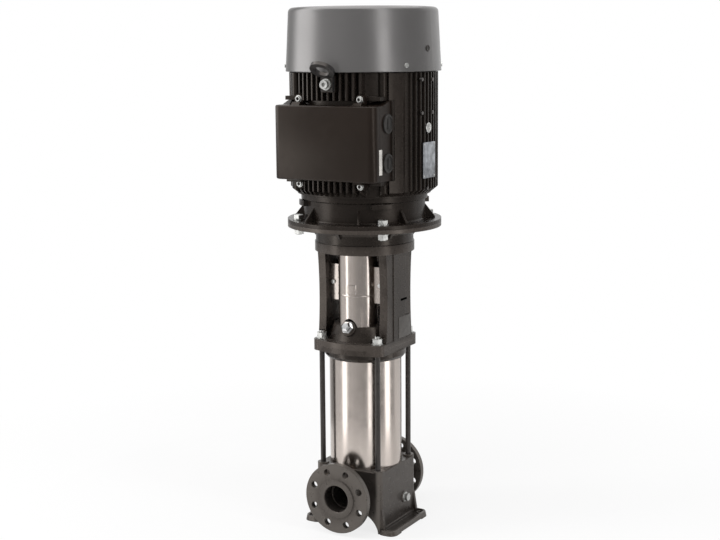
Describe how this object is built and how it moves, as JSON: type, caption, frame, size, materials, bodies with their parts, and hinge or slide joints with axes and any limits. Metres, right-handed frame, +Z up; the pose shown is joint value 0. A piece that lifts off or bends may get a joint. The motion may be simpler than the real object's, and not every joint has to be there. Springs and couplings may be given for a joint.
{
  "type": "vertical multistage pump",
  "caption": "vertical in-line multistage pump with flanged ports, polished sleeve held by staybolts, motor stool with coupling guards and a finned flange motor",
  "frame": {"origin": "on the pump axis at the level of the feet, in the middle of the four foundation holes", "axes": "+Z up along the shaft, -Y towards the inlet port, the terminal box and the vent, +X towards the drain plug"},
  "size_m": [0.4, 0.495, 1.357],
  "materials": {
    "base_cast_iron": "rough painted casting",
    "black_paint": "gloss",
    "grey_paint": "satin metallic",
    "polished_steel": "polished",
    "stage_steel": "pressed sheet",
    "zinc_steel": "zinc plated",
    "black_steel": "black oxide",
    "shaft_steel": "ground",
    "core_steel": "stacked sheets",
    "coupling_iron": "machined",
    "bright_chrome": "bright",
    "seal_rubber": "matte",
    "bush_ceramic": "lapped",
    "winding_copper": "varnished",
    "fan_plastic": "matte",
    "plug_plastic": "matte",
    "board_plastic": "moulded",
    "stud_brass": "turned"
  },
  "bodies": {
    "pump_frame": {"base_casting": "base_cast_iron", "base_drain_plug": "zinc_steel", "outer_sleeve": "polished_steel", "sleeve_seals": "seal_rubber", "staybolts": "black_steel", "staybolt_washers": "zinc_steel", "staybolt_nuts": "zinc_steel", "suction_interconnector": "stage_steel", "shaft_bush": "bush_ceramic", "chamber_1": "stage_steel", "chamber_2": "stage_steel", "chamber_3": "stage_steel", "chamber_4": "stage_steel", "chamber_straps": "stage_steel", "pump_head": "black_paint", "vent_plug": "bright_chrome", "shaft_seal_housing": "stage_steel", "seal_stationary_ring": "bush_ceramic", "seal_screws": "zinc_steel", "motor_stool": "black_paint", "coupling_guard_front": "polished_steel", "coupling_guard_rear": "polished_steel", "guard_screws": "zinc_steel", "drive_end_shield": "black_paint", "flange_bolts": "zinc_steel", "flange_washers": "zinc_steel", "flange_nuts": "zinc_steel", "motor_housing": "black_paint", "stator_core": "core_steel", "stator_windings": "winding_copper", "bearing_outer_rings": "shaft_steel", "fan_end_shield": "black_paint", "fan_cover": "grey_paint", "fan_cover_screws": "zinc_steel", "terminal_box_base": "black_paint", "terminal_box_gasket": "seal_rubber", "terminal_box_cover": "black_paint", "terminal_box_screws": "zinc_steel", "cable_entry_plugs": "plug_plastic", "terminal_board": "board_plastic", "terminal_studs": "stud_brass", "lifting_lugs": "black_steel", "lifting_lug_screws": "zinc_steel"},
    "rotor": {"motor_shaft": "shaft_steel", "rotor_core": "core_steel", "bearing_inner_rings": "shaft_steel", "cooling_fan": "fan_plastic", "coupling_half_front": "coupling_iron", "coupling_half_rear": "coupling_iron", "coupling_screws": "black_steel", "pump_shaft": "shaft_steel", "impeller_1": "stage_steel", "impeller_2": "stage_steel", "impeller_3": "stage_steel", "impeller_4": "stage_steel", "shaft_spacers": "stage_steel", "seal_rotating_ring": "shaft_steel"},
    "bearing_ball_sets": {"bearing_balls_drive_end": "shaft_steel", "bearing_balls_fan_end": "shaft_steel"},
    "vent_valve": {"vent_screw": "bright_chrome"}
  },
  "joints": [
    {"name": "shaft_rotation", "type": "hinge", "parent": "pump_frame", "child": "rotor", "pos_m": [0, 0, 0.5], "axis": [0, 0, 1], "continuous": true},
    {"name": "ball_rotation", "type": "hinge", "parent": "pump_frame", "child": "bearing_ball_sets", "pos_m": [0, 0, 0.85], "axis": [0, 0, 1], "continuous": true},
    {"name": "vent_rotation", "type": "hinge", "parent": "pump_frame", "child": "vent_valve", "pos_m": [0, -0.088, 0.54], "axis": [0, -0.866, 0.5], "range_deg": [0, 360]}
  ],
  "couplings": [
    {"joint": "ball_rotation", "follows": "shaft_rotation", "ratio": 0.388}
  ]
}
